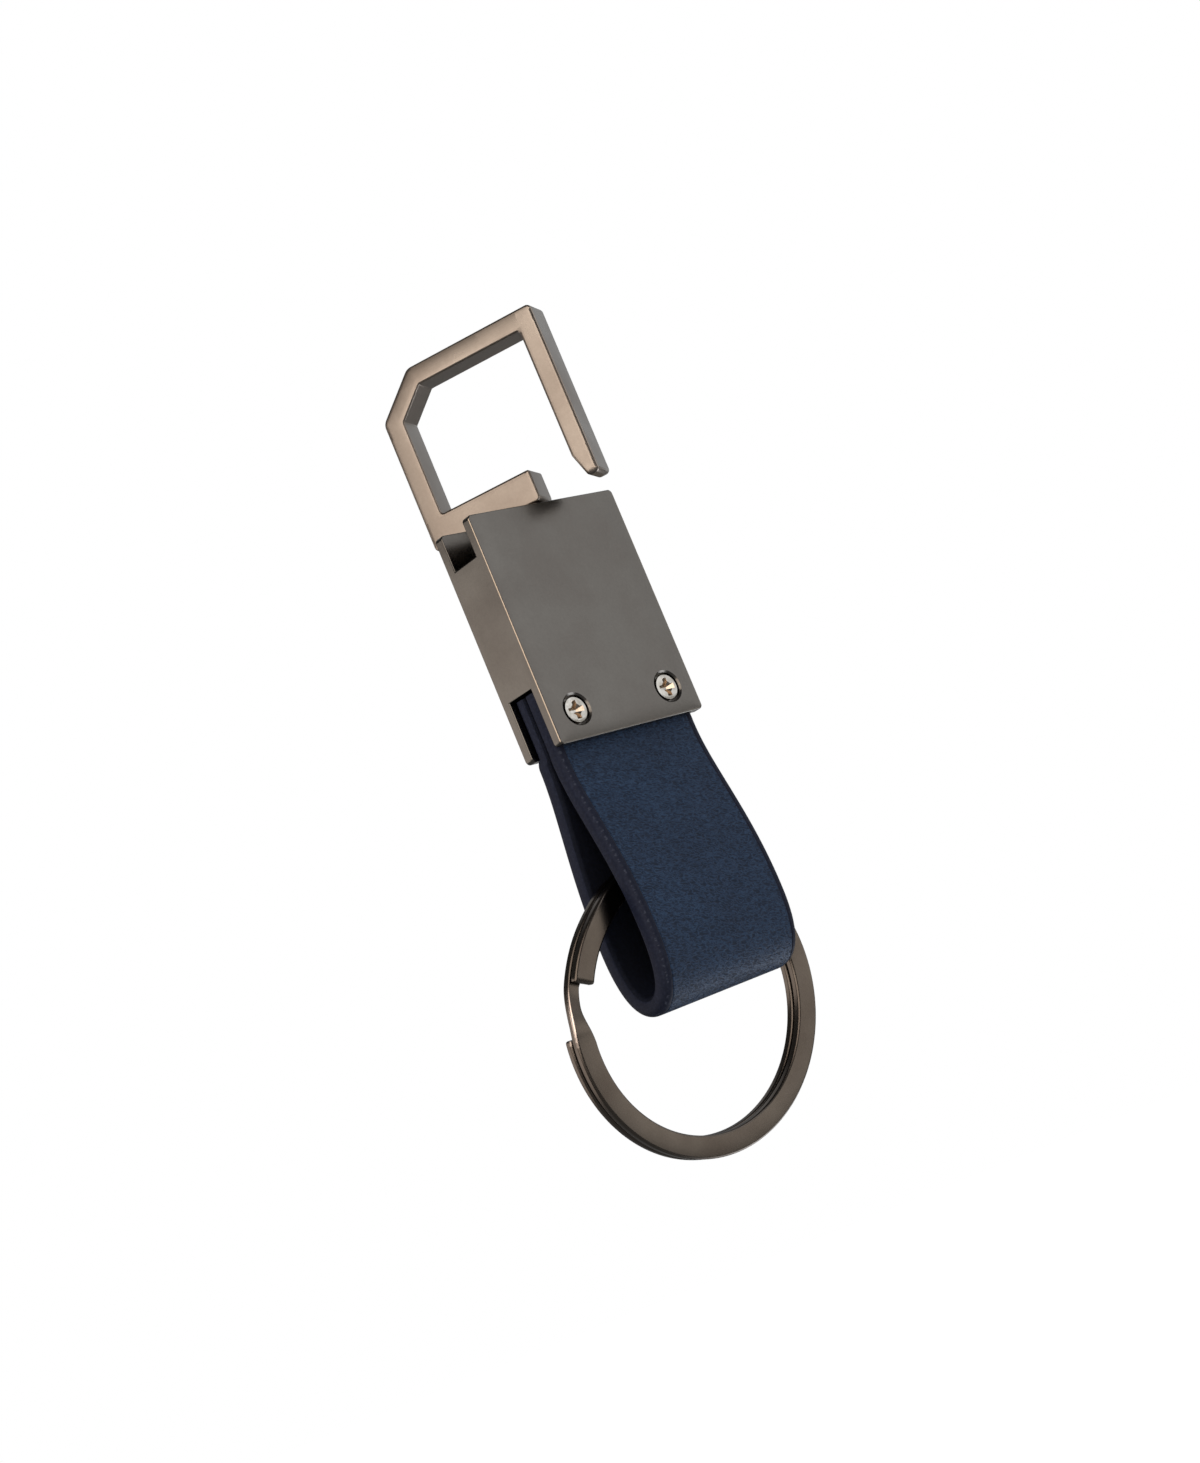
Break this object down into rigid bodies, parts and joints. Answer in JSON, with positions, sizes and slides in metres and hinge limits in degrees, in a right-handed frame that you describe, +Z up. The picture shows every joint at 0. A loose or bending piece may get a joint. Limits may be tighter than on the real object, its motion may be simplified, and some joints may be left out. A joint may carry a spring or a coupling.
{
  "type": "leather key chain with pull-and-turn hook",
  "caption": "Key chain: an open frame hook that pulls up and turns on a sprung post, a flat metal housing that clamps a folded leather strap, and a stepped split ring in the strap's loop.",
  "frame": {"origin": "middle of the hook's seat, the flat underside of its top bar", "axes": "+X across the hook to its free limb, +Y through its thickness to the back, +Z up along the post the hook turns on"},
  "size_m": [0.0236, 0.0277, 0.0907],
  "materials": {
    "hook_metal": "satin warm nickel plate on a zinc casting",
    "housing_metal": "polished dark nickel plate on a zinc casting",
    "steel": "plain bright steel",
    "strap_leather": "navy grained leather with painted dark edges",
    "screw_nickel": "bright nickel plate",
    "ring_metal": "dark bronze plate on flat steel wire"
  },
  "bodies": {
    "hook": {"hook": "hook_metal", "hook_post": "steel", "post_nut": "steel"},
    "washer": {"thrust_washer": "steel", "hook_spring": "steel"},
    "housing": {"housing": "housing_metal", "strap": "strap_leather", "clamp_screw_left": "screw_nickel", "clamp_screw_right": "screw_nickel"},
    "ring": {"split_ring": "ring_metal"}
  },
  "joints": [
    {"name": "hook_turn", "type": "hinge", "parent": "hook", "child": "washer", "pos_m": [0, 0, -0.03], "axis": [0, 0, 1], "continuous": true},
    {"name": "hook_lift", "type": "slide", "parent": "washer", "child": "housing", "axis": [0, 0, -1], "range_m": [0, 0.003], "stiffness_N_per_m": 520, "springref_m": -0.0064, "deforming": ["hook_spring"]},
    {"name": "ring_swing", "type": "hinge", "parent": "housing", "child": "ring", "pos_m": [0.0004, -0.00022, -0.06065], "axis": [0.4924, 0.8704, 0], "range_deg": [-13, 3]}
  ]
}
